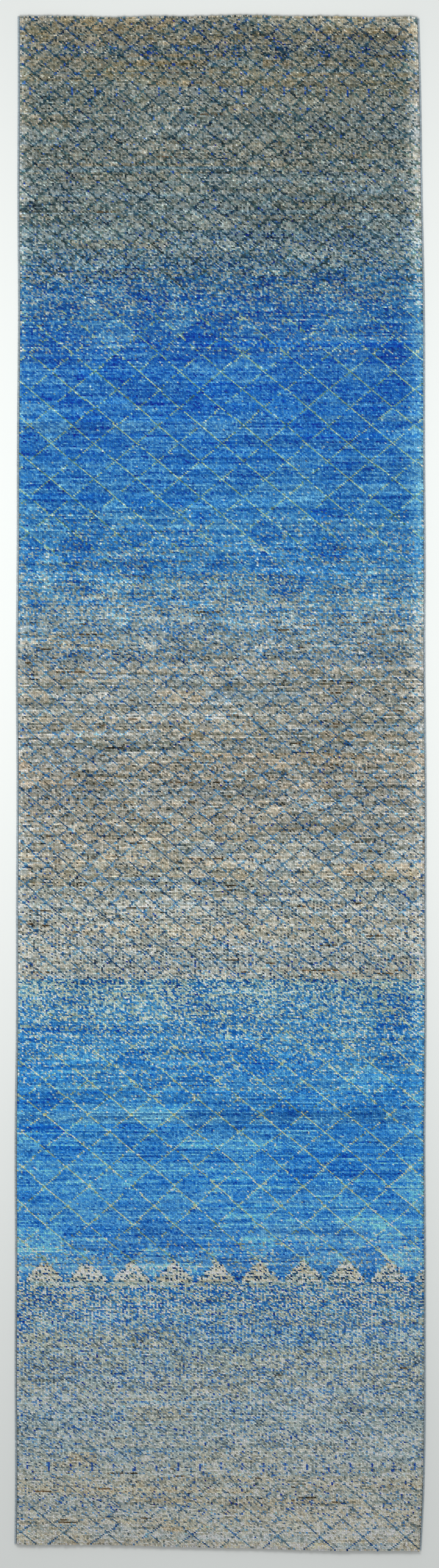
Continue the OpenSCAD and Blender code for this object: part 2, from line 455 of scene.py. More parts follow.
# Lines that cross in diamonds. "cells" are the rows where these diamonds differ from one another. "right" and
# "left" are the shares of the lines falling to the right and to the left that are there.
# "wide" is the share of knots beside a line that take its yarn too; without it lines are one knot wide.
LATTICES = [
    {   # small diamonds of the far border and the grey and teal field
        "pitch": 12, "phase": (6, 9), "cells": (0, 190), "wide": 0.25, "yarns": [(52, 73, 76), (56, 92, 106)],
        "right": [(0, 0.75), (40, 0.85), (165, 0.85), (190, 0)],
        "left": [(0, 0.75), (40, 0.85), (165, 0.8), (185, 0)],
    },
    {   # large half diamonds at the far end
        "pitch": 24, "phase": (18, 9), "cells": (0, 0), "wide": 0.4, "yarns": [(48, 72, 84), (46, 80, 118)],
        "right": [(0, 0.9), (20, 0.7), (30, 0)],
        "left": [(0, 0.9), (20, 0.7), (30, 0)],
    },
    {   # large diamonds of the far blue field
        "pitch": 24, "phase": (20, 14), "cells": (190, 390), "yarns": [(116, 156, 134), (156, 182, 150)],
        "right": [(190, 0), (200, 0.6), (235, 0.95), (330, 0.95), (345, 0.75), (365, 0.4), (385, 0)],
        "left": [(190, 0), (205, 0.45), (235, 0.8), (325, 0.8), (340, 0.5), (360, 0)],
    },
    {   # small diamonds of the taupe fields
        "pitch": 12, "phase": (8, 10), "cells": (390, 645), "wide": 0.12,
        "yarns": [(60, 92, 116), (84, 140, 180)],
        "right": [(392, 0), (405, 0.45), (430, 0.9), (590, 0.95), (605, 0.92), (643, 0.85), (644, 0)],
        "left": [(392, 0), (410, 0.45), (435, 0.9), (590, 0.92), (605, 0.7), (643, 0.5), (644, 0)],
    },
    {   # large diamonds of the near blue field
        "pitch": 24, "phase": (23, 7), "cells": (645, 846), "yarns": [(158, 186, 160), (196, 208, 174)],
        "right": [(652, 0), (670, 0.5), (700, 0.92), (822, 0.95), (834, 0.8), (835, 0)],
        "left": [(660, 0), (690, 0.5), (715, 0.7), (742, 0.85), (805, 0.85), (818, 0.4), (828, 0)],
    },
    {   # small diamonds of the near field
        "pitch": 12, "phase": (8, 8), "cells": (846, ROWS), "yarns": [(94, 118, 134), (86, 122, 160)],
        "right": [(862, 0), (882, 0.5), (945, 0.65), (970, 0.5), (976, 0)],
        "left": [(862, 0), (885, 0.45), (945, 0.6), (970, 0.4), (976, 0)],
    },
    {   # small diamonds of the near border
        "pitch": 12, "phase": (4, 11), "cells": (0, 0), "yarns": [(98, 120, 128), (78, 116, 150)],
        "right": [(972, 0), (980, 0.45), (1010, 0.55), (1014, 0)],
        "left": [(972, 0), (980, 0.45), (1010, 0.55), (1014, 0)],
    },
    {   # large half diamonds at the near end
        "pitch": 24, "phase": (16, 11), "cells": (0, 0), "yarns": [(78, 108, 124), (62, 104, 150)],
        "right": [(1010, 0), (1014, 0.95), (1026, 0.95)],
        "left": [(1010, 0), (1014, 0.95), (1026, 0.95)],
    },
]
STAR_ROWS = [(47, 52), (968, 973)]  # first and last row of the two rows of small blue bars
STAR_PITCH, STAR_COLUMN = 12, 5
CLUSTER_ROW, CLUSTER_COLUMN, CLUSTER_PITCH = 22, 3, 24  # middles of the blue clusters in the far border
CLUSTER_RADIUS = 8
TRIANGLE_PITCH, TRIANGLE_PEAK, TRIANGLE_HALF = 24, 14.5, 9.5
TRIANGLE_TAUPE = (208, 206, 190)

SHADE = 112  # what a lightness of 1 adds to a colour from 0 to 255
SHADE_KNOT = 0.195  # how far the knots differ from each other in lightness
GREEN_CHANGE, BLUE_CHANGE, BLUE_KEPT = 0.93, 0.93, 0.57  # how green and blue follow a change of red
SHADE_CELL, SHADE_PATCH = 0.03, 0.03  # how far diamonds and patches differ in lightness
LEFT_LIGHT_REACH, RIGHT_LIGHT_REACH, END_LIGHT_REACH = 2.5, 6, 3  # knots from an edge or an end over which the painted light dies away
TONE, HUE = 7, 7  # how far lots and single knots differ between warm and cold, in colour steps
TONE_SPLIT = (0.6, 0, -0.6)
DYE_KNOT, DYE_CELL = 28, 16  # how far blue yarn's dye differs between knots and between diamonds
DYE_SPLIT = (0.5, 0.4, 0.1)
YARN_RANGE, LIGHT_RANGE = (8, 250), (0.004, 0.92)  # limits of a yarn's colour
HEART_EDGE, HEART_SIZE = 1.4, 0.28  # how sharply and how far out in a diamond its heart ends
EDGE_SLOPE, EDGE_SPREAD = 1.15, 0.7  # rows that a triangle's edge falls for each knot, and how uneven it is
TRIANGLE_FILL, SPECKS = 0.03, 0.2  # share of a triangle's knots left in other yarn, and share of dark specks
CLUSTER_BLUE, CLUSTER_ROYAL = 0.8, 0.2  # shares of blue and of royal blue in the middle of a cluster
CROSSING_REACH = 1  # knots from both lines that still count as their crossing
APART_KNOTS = 4  # slate and blue knots that keep apart have this many columns from one to the next
STARS_KEPT, BROWN_KEPT = 0.7, 0.85  # shares of the small bars' and of the brown runs' knots that are there


def choose(yarn, where, colour):
    """Ties the chosen knots in another yarn."""
    return np.where(where[..., None], colour, yarn)


def pattern():
    """The yarn of every knot, as (ROWS, KNOTS, 3) in linear light."""
    shape = (ROWS, KNOTS)
    j, i = np.meshgrid(np.arange(ROWS), np.arange(KNOTS), indexing="ij")
    drift = 0.8 * cloud("drift", ROWS, KNOTS, 50, 60)
    slipped = j - level(SLIP)

    def diagonals(lattice):
        """How far each knot is along the drawing, counted across its falling and its rising lines."""
        falling = np.round(i + drift - slipped).astype(int) - lattice["phase"][0]
        rising = np.round(i + drift + slipped).astype(int) - lattice["phase"][1]
        return falling, rising

    # Diamonds differ from each other, and so do the rows in them.
    cells, streaks, heart = np.zeros(shape), np.zeros(shape), np.zeros(shape)
    for lattice in LATTICES:
        pitch, (first, last) = lattice["pitch"], lattice["cells"]
        falling, rising = diagonals(lattice)
        a, b = falling // pitch, rising // pitch
        a, b = a - a.min(), b - b.min()
        rng = stream(f"cells{first}")
        here = (j >= first) & (j < last)
        cells = np.where(here, rng.normal(0, 1, (a.max() + 1, b.max() + 1))[a, b], cells)
        streaks = np.where(here, rng.normal(0, 1, (ROWS, (a + b).max() + 1))[j, a + b], streaks)
        off = np.hypot(falling % pitch - pitch / 2, rising % pitch - pitch / 2) / pitch
        heart = np.where(here, np.clip(HEART_EDGE - off / HEART_SIZE, 0, 1), heart)

    # Ground: taupe, with slate, blue and cream knots scattered in it, more along some rows than along others.
    lot = 0.7 * runs("lot", *shape, 45, 1.2) + 0.5 * runs("lots", *shape, 120, 4)
    lot += 0.25 * cloud("lot", *shape, 14, 30)
    kept = level(TIED_RUNS)
    own = stream("tied").normal(0, 1, shape)
    tied = even(np.sqrt(1 - kept**2) * own + kept * runs("tied", *shape, 2.4, 1))
    warmth = np.clip(level(WARM_SHARE) * (1 + 0.6 * cells), 0, 1.5)[..., None]
    hearts = (level(HEART_SHARE) * heart * (1 + 0.5 * cells))[..., None]
    yarn = dyed(TAUPE) + warmth * np.array(WARM) + hearts * np.array(HEART)

    gather = np.exp(0.4 * lot + level(PATCHES) * cloud("slate", *shape, 4, 28) - 0.15)
    in_place = (i + 2 * j) % APART_KNOTS == 0
    apart = np.where(in_place, 1 + (APART_KNOTS - 1) * level(APART), 1 - level(APART))
    slate = stream("slate").random(shape) < level(SLATE_SHARE) * gather * apart
    yarn = choose(yarn, slate, dyed(SLATE))
    blue_level = level(BLUE_SHARE)
    blue = tied < (blue_level + level(LOT) * blue_level * (1 - blue_level) * lot) * apart
    yarn = choose(yarn, blue, dyed(BLUE))
    cream = stream("cream").random(shape) < level(CREAM_SHARE) * np.exp(-0.3 * lot)
    yarn = choose(yarn, cream, dyed(CREAM))
    royal = stream("royal").random(shape) < level(ROYAL_SHARE)
    yarn = choose(yarn, royal, ROYAL)

    # Blue clusters in the far border
    across = (i + drift - CLUSTER_COLUMN + CLUSTER_PITCH / 2) % CLUSTER_PITCH - CLUSTER_PITCH / 2
    near = np.clip(1 - np.hypot(across, j - CLUSTER_ROW) / CLUSTER_RADIUS, 0, 1)
    near = near * np.clip(0.7 + 0.5 * cloud("cluster", *shape, ROWS, 20), 0, 1)
    yarn = choose(yarn, tied < CLUSTER_BLUE * near * (1 + 0.3 * lot), dyed(BLUE) * 0.9)
    yarn = choose(yarn, stream("cluster").random(shape) < CLUSTER_ROYAL * near, ROYAL)

    # Triangles with their peaks at the near edge of the blue field and their feet at the next field
    from_peak = np.abs((i - TRIANGLE_PEAK + TRIANGLE_PITCH / 2) % TRIANGLE_PITCH - TRIANGLE_PITCH / 2)
    edge = START["triangle_row"] + EDGE_SLOPE * from_peak + EDGE_SPREAD * stream("edge").normal(0, 1, shape)
    inside = (j >= edge) & (j < END["triangle_row"]) & (from_peak <= TRIANGLE_HALF)
    yarn = choose(yarn, inside & (tied > TRIANGLE_FILL) & ~cream, TRIANGLE_TAUPE)
    yarn = choose(yarn, inside & (stream("speck").random(shape) < SPECKS), dyed(SLATE) * 0.8)

    # Lattice lines, in two yarns that take turns along them
    blend = even(runs("line", *shape, 7, 2) + 0.5 * stream("line").normal(0, 1, shape))[..., None]
    missed = stream("missed").random(shape)
    on_line = np.zeros(shape, bool)
    for lattice in LATTICES:
        pitch = lattice["pitch"]
        falling, rising = diagonals(lattice)
        line = (falling % pitch == 0) & (missed < level(lattice["right"]))
        line |= (rising % pitch == 0) & (missed < level(lattice["left"]))
        beside = (falling % pitch == 1) | (rising % pitch == 1)
        line |= beside & (missed > 1 - lattice.get("wide", 0)) & (level(lattice["right"]) > 0.5)
        first, second = np.array(lattice["yarns"])
        yarn = choose(yarn, line, first * (1 - blend) + second * blend)
        on_line |= line

    # Royal blue knots where the small lattice crosses itself
    falling, rising = diagonals(LATTICES[0])
    pitch = LATTICES[0]["pitch"]
    off = np.maximum((falling + CROSSING_REACH) % pitch, (rising + CROSSING_REACH) % pitch)
    crossing = (off <= 2 * CROSSING_REACH) & on_line
    yarn = choose(yarn, crossing & (tied < level(CROSSING_SHARE)), ROYAL)

    # Rows of small bars, some of them left out
    for first, last in STAR_ROWS:
        star = (np.round(i + drift).astype(int) % STAR_PITCH == STAR_COLUMN) & (j >= first) & (j <= last)
        yarn = choose(yarn, star & (missed < STARS_KEPT), ROYAL)

    # Short lengths of brown yarn
    brown = runs("brown", *shape, 6, 1)
    yarn = choose(yarn, (brown > level(BROWN_ABOVE)) & (missed < BROWN_KEPT) & ~on_line, BROWN)

    # Lightness varies from knot to knot, along runs in a row, and in patches.
    shade = SHADE_KNOT * stream("knot").normal(0, 1, shape)
    shade += level(STREAK) * (0.7 * runs("run", *shape, 22, 1.1) + 0.7 * streaks)
    shade += level(ABRASH) * (0.6 * runs("abrash", *shape, 90, 4) + 0.5 * runs("lots", *shape, 40, 2))
    shade += SHADE_PATCH * cloud("patch", *shape, 26, 40) + SHADE_CELL * cells
    # Painted light: the yarn is made lighter along the sides and the ends, in place of the light on the
    # splayed edge tufts and against the shadow at the rim.
    shade += level(LEFT_PAINTED_LIGHT) * np.exp(-i / LEFT_LIGHT_REACH)
    shade += level(RIGHT_PAINTED_LIGHT) * np.exp(-((KNOTS - 1 - i) / RIGHT_LIGHT_REACH) ** 2)
    shade += END_PAINTED_LIGHT[0] * np.exp(-j / END_LIGHT_REACH) + END_PAINTED_LIGHT[1] * np.exp(-(ROWS - 1 - j) / END_LIGHT_REACH)
    # A blue yarn gets deeper as it gets darker, so its blue changes least.
    blueness = np.clip((yarn[..., 2] - yarn[..., 0]) / yarn[..., 2], 0, 1)
    change = np.stack([np.ones(shape), np.full(shape, GREEN_CHANGE), BLUE_CHANGE - BLUE_KEPT * blueness], -1)
    tone = TONE * runs("tone", *shape, 50, 3) + HUE * stream("hue").normal(0, 1, shape)
    dye = blueness * (DYE_KNOT * stream("dye").normal(0, 1, shape) + DYE_CELL * cells)
    dye = dye[..., None] * np.array(DYE_SPLIT)
    yarn = yarn + SHADE * shade[..., None] * change + tone[..., None] * np.array(TONE_SPLIT) + dye
    factor = level(PILE_GAIN)[..., None]
    return np.clip(light(np.clip(yarn, *YARN_RANGE)) * factor, *LIGHT_RANGE)


# -------------------- pile

VALLEY = 0.45  # height of the gaps between tufts, as a share of the pile's
TOP_W, TOP_L = 0.86, 0.84  # a tuft's cut end, as a share of its knot
SLANT = 0.55  # how far a cut end leans to the right over its own length, in knots
LEAN_X, LEAN_Y = 0.5 * MM, -0.9 * MM  # how far tufts lean from their roots
TAPER = 3.5 * MM  # how much lower the outermost tufts are
FRINGE = 1.1 * MM  # how far the outermost tufts stick out at the ends
TAPER_KNOTS = 1.3  # knots from an edge over which the lowering dies away
DROP = 1.1 * MM  # how much lower the far edge of a cut end is
EDGE_VALLEY = 0.3  # height of the outermost gaps, as a share of the pile's
SHAKE = 0.16 * MM  # how uneven the gaps' corners are
SLANT_SPREAD, SIZE_SPREAD = 0.22, 0.08  # how far cut ends differ in lean over their length and in size
LEAN_SPREAD_X, LEAN_SPREAD_Y = 0.30 * MM, 0.25 * MM
SHORTER = 0.9 * MM  # how much lower than the pile's box a tuft is on average
TALL_SPREAD, TALL_PATCH, CORNER_SPREAD = 0.3 * MM, 0.35 * MM, 0.12 * MM  # how far heights differ
CUT_INSET = 0.16  # share of a knot's place on the map that lies round its cut end
WANDER_X, WANDER_Y = 1.1 * MM, 1.0 * MM  # how far rows and columns wander
CALM_KNOTS = 12  # knots from the edges over which the wandering starts

yarn_of = pattern()
wander_x = WANDER_X * cloud("wander_x", ROWS + 1, KNOTS + 1, 28, 34)
wander_y = WANDER_Y * cloud("wander_y", ROWS + 1, KNOTS + 1, 28, 34)


def knot_corner(j, i):
    """Where the corner between four knots lies, beaten down by hand and so never quite even."""
    inside = np.minimum(np.minimum(i, KNOTS - i), np.minimum(j, ROWS - j)) / CALM_KNOTS
    calm = np.clip(inside, 0, 1)
    x = (i - KNOTS / 2) * knot_w + calm * wander_x[j, i]
    y = far_y - j * row_l + calm * wander_y[j, i]
    return x, y


def pile(name, first, last):
    """One group of knot rows, from row first up to row last, as tufts that share their gaps."""
    rows, cols = last - first, KNOTS
    rng = stream(name)
    j, i = np.meshgrid(np.arange(first, last + 1), np.arange(cols + 1), indexing="ij")
    x, y = knot_corner(j, i)
    shake = stream("valleys").normal(0, SHAKE, (ROWS + 1, KNOTS + 1, 2))[first:last + 1]
    at_side = (i == 0) | (i == cols)
    at_end = (j == 0) | (j == ROWS)
    height = np.where(at_side | at_end, EDGE_VALLEY, VALLEY) * (pile_top - pile_z)
    fringe = FRINGE * np.abs(stream("fringe").normal(0, 1, (ROWS + 1, KNOTS + 1)))[first:last + 1]
    out = np.where(j == 0, fringe, 0) - np.where(j == ROWS, fringe, 0)
    valley_x, valley_y = placed(x + shake[..., 0], y + shake[..., 1] + out)
    valleys = np.stack([valley_x, valley_y, pile_z + height], -1)

    cx = (x[:-1, :-1] + x[1:, 1:]) / 2
    cy = (y[:-1, :-1] + y[1:, 1:]) / 2
    shape = (rows, cols, 1)
    slant = knot_w * (SLANT + SLANT_SPREAD * rng.normal(0, 1, shape)) / 2
    across = knot_w / 2 * TOP_W * (1 + SIZE_SPREAD * rng.normal(0, 1, shape))
    down = row_l / 2 * TOP_L * (1 + SIZE_SPREAD * rng.normal(0, 1, shape))
    sx = np.array([-1, 1, 1, -1])  # near left, near right, far right, far left
    sy = np.array([-1, -1, 1, 1])
    lean_x = LEAN_X + LEAN_SPREAD_X * rng.normal(0, 1, shape)
    lean_y = LEAN_Y + LEAN_SPREAD_Y * rng.normal(0, 1, shape)
    tx = cx[..., None] + lean_x + sx * across - sy * slant
    ty = cy[..., None] + lean_y + sy * down
    tall = pile_top - SHORTER + TALL_SPREAD * rng.normal(0, 1, shape)
    tall = tall + TALL_PATCH * cloud("tall" + name, rows, cols, 7, 12)[..., None]
    from_edge = np.minimum(np.minimum(i, cols - 1 - i), np.minimum(j, ROWS - 1 - j))[:-1, :-1, None]
    tall = tall - TAPER * np.exp(-from_edge / TAPER_KNOTS)
    tz = np.minimum(tall - DROP * (sy > 0) + CORNER_SPREAD * rng.normal(0, 1, (rows, cols, 4)), pile_top)
    ends = FRINGE * np.abs(rng.normal(0, 1, (rows, cols, 4)))
    row = j[:-1, :-1, None]
    ty = ty + ends * ((row == 0) & (sy > 0)) - ends * ((row == ROWS - 1) & (sy < 0))
    tx, ty = placed(tx, ty)
    tops = np.stack([tx, ty, tz], -1)

    skin = Skin()
    grid = skin.add(valleys)
    top = skin.add(tops)
    cell = quads(grid)
    yarn = yarn_of[first:last].reshape(-1, 3)
    outer, inner = cell_map(rows, cols, 0.0), cell_map(rows, cols, CUT_INSET)
    skin.face(top.reshape(-1, 4), yarn, inner.reshape(-1, 4, 2))
    for a in range(4):
        b = (a + 1) % 4
        side = np.stack([cell[..., a], cell[..., b], top[..., b], top[..., a]], -1)
        where = np.stack([outer[..., a, :], outer[..., b, :], inner[..., b, :], inner[..., a, :]], -2)
        skin.face(side.reshape(-1, 4), yarn, where.reshape(-1, 4, 2))
    close(skin, grid, pile_z, valleys, light(150, 145, 130), flip=True)
    made = skin.object(name)
    made.data.materials.append(pile_wool)
    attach(made, "root")
    return made


# -------------------- materials


FIBRE_STRETCH = (1.0, 0.55, 0.3)  # fibres show longer along the rug and upwards than across
FIBRE_RELIEF = 0.25 * MM


def shader(name, roughness, sheen, fibre=0.35, fibre_size=1.5 * MM):
    """Wool or cotton: the yarn's own colour, mottled by its fibres, with a soft sheen."""
    mat = bpy.data.materials.new(name)
    mat.use_nodes = True
    nodes, links = mat.node_tree.nodes, mat.node_tree.links
    nodes.clear()
    out = nodes.new("ShaderNodeOutputMaterial")
    bsdf = nodes.new("ShaderNodeBsdfPrincipled")
    bsdf.inputs["Roughness"].default_value = roughness
    bsdf.inputs["Sheen Weight"].default_value = sheen
    bsdf.inputs["Sheen Roughness"].default_value = 0.45
    bsdf.inputs["Specular IOR Level"].default_value = 0.15
    links.new(bsdf.outputs[0], out.inputs[0])
    yarn = nodes.new("ShaderNodeAttribute")
    yarn.attribute_name = "yarn"
    place = nodes.new("ShaderNodeTexCoord")
    fibres = nodes.new("ShaderNodeTexNoise")
    fibres.inputs["Scale"].default_value = 1 / fibre_size
    fibres.inputs["Detail"].default_value = 3
    fibres.inputs["Roughness"].default_value = 0.65
    stretch = nodes.new("ShaderNodeMapping")
    stretch.inputs["Scale"].default_value = FIBRE_STRETCH
    links.new(place.outputs["Object"], stretch.inputs["Vector"])
    links.new(stretch.outputs[0], fibres.inputs["Vector"])
    mottle = nodes.new("ShaderNodeMapRange")
    mottle.inputs["From Min"].default_value = 0.25
    mottle.inputs["From Max"].default_value = 0.75
    mottle.inputs["To Min"].default_value = 1 - fibre
    mottle.inputs["To Max"].default_value = 1 + fibre
    links.new(fibres.outputs["Fac"], mottle.inputs["Value"])
    colour = nodes.new("ShaderNodeVectorMath")
    colour.operation = "SCALE"
    links.new(yarn.outputs["Color"], colour.inputs[0])
    links.new(mottle.outputs[0], colour.inputs["Scale"])
    links.new(colour.outputs[0], bsdf.inputs["Base Color"])
    relief = nodes.new("ShaderNodeBump")
    relief.inputs["Distance"].default_value = FIBRE_RELIEF
    relief.inputs["Strength"].default_value = 0.6
    links.new(fibres.outputs["Fac"], relief.inputs["Height"])
    links.new(relief.outputs[0], bsdf.inputs["Normal"])
    return mat


pile_wool = shader("pile_wool", roughness=0.85, sheen=0.1)
back_wool = shader("knot_back_wool", roughness=0.9, sheen=0.1, fibre=0.2)
cotton = shader("cotton_thread", roughness=0.9, sheen=0.05, fibre=0.15, fibre_size=0.5 * MM)
selvage_wool = shader("selvage_wool", roughness=0.85, sheen=0.15, fibre=0.25, fibre_size=0.5 * MM)

# -------------------- the pile's pieces

rows_per_piece = FACES_PER_PIECE // (KNOTS * 10)
for field, slot_name in FIELDS:
    start, end = START[field], END[field]
    parts = math.ceil((end - start) / rows_per_piece)
    cuts = np.linspace(start, end, parts + 1).round().astype(int)
    for part in range(parts):
        name = f"pile_{field}_{part + 1}" if parts > 1 else f"pile_{field}_tufts"
        made = pile(name, cuts[part], cuts[part + 1])
        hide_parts("pile_" + field)

# -------------------- back of the knots

BACK_RELIEF = 0.35 * MM  # how far the gaps between the rows of loops lie above the floor
BACK_WAVE = 0.06 * MM  # how much higher every other column of loops lies
BACK_DARKER = 0.9


def knot_backs(name, first, last):
    """The loops on the back of a group of rows: one ridge for each row."""
    rows = 2 * (last - first)
    j, i = np.meshgrid(np.arange(rows + 1), np.arange(KNOTS + 1), indexing="ij")
    x = (i - KNOTS / 2) * knot_w
    y = far_y - (first + j / 2) * row_l
    x, y = placed(x, y)
    z = np.where(j % 2 == 0, BACK_RELIEF, BACK_WAVE * (i % 2))
    points = np.stack([x, y, z], -1)
    skin = Skin()
    grid = skin.add(points)
    yarn = np.repeat(yarn_of[first:last], 2, 0).reshape(-1, 3) * BACK_DARKER
    faces = quads(grid).reshape(-1, 4)[:, ::-1]
    where = cell_map(rows, KNOTS, 0.0).reshape(-1, 4, 2)[:, ::-1]
    skin.face(faces, yarn, where)
    close(skin, grid, loop_z, points, light(190, 184, 168), flip=False)
    made = skin.object(name)
    made.data.materials.append(back_wool)
    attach(made, "root")
    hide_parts("knot_loops")
    return made


loops_low, loops_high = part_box("knot_loops")
first_loop, last_loop = row_of(loops_high.y), row_of(loops_low.y)
back_parts = math.ceil((last_loop - first_loop) * KNOTS * 4 / FACES_PER_PIECE)
back_cuts = np.linspace(first_loop, last_loop, back_parts + 1).round().astype(int)
for part in range(back_parts):
    knot_backs(f"knot_loops_{part + 1}", back_cuts[part], back_cuts[part + 1])

# -------------------- foundation


def laid(x, y, z):
    """Points of the straight rug, placed on the hand-made one, as (..., 3)."""
    x, y, z = np.broadcast_arrays(np.asarray(x, float), y, z)
    px, py = placed(x, y)
    return np.stack([px, py, z], -1)


def as_piece(made, material, slot_name, *nodes):
    """Gives a piece its material and hides the CAD nodes that it takes the place of; the slot name is not
    used.
    """
    made.data.materials.append(material)
    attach(made, "root")
    if nodes:
        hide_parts(*nodes)
    return made


def middle(node):
    """The middle of a CAD node's box."""
    low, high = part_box(node)
    return (low + high) / 2


WARP_YARN, CABLE_YARN, CLOTH_YARN = light(214, 206, 186), light(130, 142, 152), light(120, 122, 118)
CLOTH_ROWS, CLOTH_COLUMNS = 2 * ROWS - 3, 33
CLOTH_RIB = 0.15 * MM

for layer, phase in (("warps_lower", 0.25), ("warps_upper", 0.75)):
    low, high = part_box(layer)
    radius = (high.z - low.z) / 2
    x = (np.arange(KNOTS) + phase - KNOTS / 2) * knot_w
    y = np.linspace(high.y, low.y, 41)
    yarns = WARP_YARN * (1 + 0.05 * stream(layer).normal(0, 1, (KNOTS, 1)))
    paths = laid(x[:, None], y[None], middle(layer).z)
    as_piece(tubes(layer + "_threads", paths, radius, 5, yarns), cotton, "warp_cotton", layer)

low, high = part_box("wefts_cable")
y = far_y - (np.arange(ROWS) + 0.75) * row_l
inside = (y < high.y) & (y > low.y)
y = y[inside]
paths = laid(np.linspace(low.x, high.x, 13)[None], y[:, None], middle("wefts_cable").z)
yarns = CABLE_YARN * (1 + 0.08 * stream("cable").normal(0, 1, (len(y), 1)))
made = tubes("wefts_cable_threads", paths, (high.z - low.z) / 2, 4, yarns)
as_piece(made, cotton, "weft_wool", "wefts_cable")

# The thin wefts, beaten down into a ribbed cloth, are the sheet that everything else is fixed to.
low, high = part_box("wefts_thin")
j, i = np.meshgrid(np.arange(CLOTH_ROWS), np.arange(CLOTH_COLUMNS), indexing="ij")
cloth_x = np.linspace(low.x, high.x, CLOTH_COLUMNS)[i]
cloth_y = np.linspace(high.y, low.y, CLOTH_ROWS)[j]
points = laid(cloth_x, cloth_y, np.where(j % 2, high.z - CLOTH_RIB, high.z))
skin = Skin()
grid = skin.add(points)
cloth_map = cell_map(CLOTH_ROWS - 1, CLOTH_COLUMNS - 1, 0)
skin.face(quads(grid).reshape(-1, 4), CLOTH_YARN, cloth_map.reshape(-1, 4, 2))
close(skin, grid, low.z, points, CLOTH_YARN, flip=True)
ground = as_piece(skin.object("ground_cloth"), cotton, "weft_wool", "wefts_thin")

# -------------------- selvages

WRAP = 1.8 * MM  # length of the edge that one turn of the overcast yarn takes
WINDING_VALLEY, WINDING_SPREAD, WINDING_LIMIT = 0.84, 0.05, 1.06  # radii, as shares
WINDING_LEAN = 0.45  # how far a turn slants, in turns
WINDING_SIDES, WINDING_STRIPS = 12, 16  # sides of the winding, and strips that its map is cut into
SELVAGE_YARN = light(158, 172, 180)
CORE_YARN = light(201, 196, 182)


def overcast(side, name):
    """Yarn wound round the edge warps: a ridge for each turn, slanted as a winding is."""
    node = "selvage_overcast_" + name
    low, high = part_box(node)
    radius = (high.x - low.x) / 2
    centre_z = middle(node).z
    turns = round((high.y - low.y) / WRAP)
    rings, sides = 2 * turns + 1, WINDING_SIDES
    rng = stream(node)
    turn = np.linspace(0, 2 * np.pi, sides, endpoint=False)
    y = np.linspace(high.y, low.y, rings)
    ridge = np.where(np.arange(rings) % 2, 1.0, WINDING_VALLEY)
    thick = np.repeat(1 + WINDING_SPREAD * rng.normal(0, 1, turns + 1), 2)[:rings]
    r = np.minimum(radius * ridge * thick, radius * WINDING_LIMIT)[:, None]
    lean = WINDING_LEAN * WRAP * np.cos(turn)[None] * side
    fade = np.clip(np.minimum(high.y - y, y - low.y) / (2 * WRAP), 0, 1)[:, None]
    edge = side * (edge_x - radius)
    px, py = placed(np.full(rings, edge), y)
    cx = px[:, None] + r * np.cos(turn)
    cy = py[:, None] + lean * fade
    cz = np.maximum(centre_z + r * np.sin(turn), 0.05 * MM)
    skin = Skin()
    ring = skin.add(np.stack([cx, cy, cz], -1))
    looped = np.concatenate([ring, ring[:, :1]], 1)
    shades = 0.12 * rng.normal(0, 1, (turns, 1)) + 0.08 * cloud(node, turns, 2, 60, 2)[:, :1]
    yarns = SELVAGE_YARN * np.exp(shades)
    yarns = np.repeat(np.repeat(yarns, 2, 0), sides, 0)
    # The map is cut into strips, one above the other.
    per = math.ceil((rings - 1) / WINDING_STRIPS)
    k, s = np.meshgrid(np.arange(rings - 1), np.arange(sides), indexing="ij")
    u = (k[..., None] % per + np.array([0, 0, 1, 1])) / per
    v = (k[..., None] // per + (s[..., None] + np.array([0, 1, 1, 0])) / sides) / (WINDING_STRIPS + 1)
    walls = np.stack([looped[:-1, :-1], looped[:-1, 1:], looped[1:, 1:], looped[1:, :-1]], -1)
    skin.face(walls.reshape(-1, 4), yarns, np.stack([u, v], -1).reshape(-1, 4, 2))
    cap = np.stack([0.02 + 0.015 * np.cos(turn), 0.97 + 0.02 * np.sin(turn)], -1)
    skin.face(ring[0, ::-1][None], yarns[0], cap[None, ::-1])
    skin.face(ring[-1][None], yarns[-1], cap[None] + np.array([0.1, 0]))
    as_piece(skin.object(f"selvage_{name}_winding"), selvage_wool, "selvage_wool", node)

    core = "selvage_core_" + name
    low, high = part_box(core)
    y = np.linspace(high.y, low.y, 121)
    path = laid(edge, y, centre_z)[None]
    made = tubes(f"selvage_{name}_bundle", path, (high.x - low.x) / 2, 8, CORE_YARN[None])
    as_piece(made, cotton, "selvage_core_cotton", core)


overcast(-1, "left")
overcast(1, "right")

# -------------------- ends


TWIST = 7 * MM  # length of one full twist of the twining
TWINING_YARNS = np.array([light(196, 188, 168), light(120, 134, 150)])
HEM_YARN = light(186, 180, 162)
STITCH_YARN = light(226, 220, 204)
HEM_RIBS, HEM_COLUMNS = 24, 128
STITCHES = 98


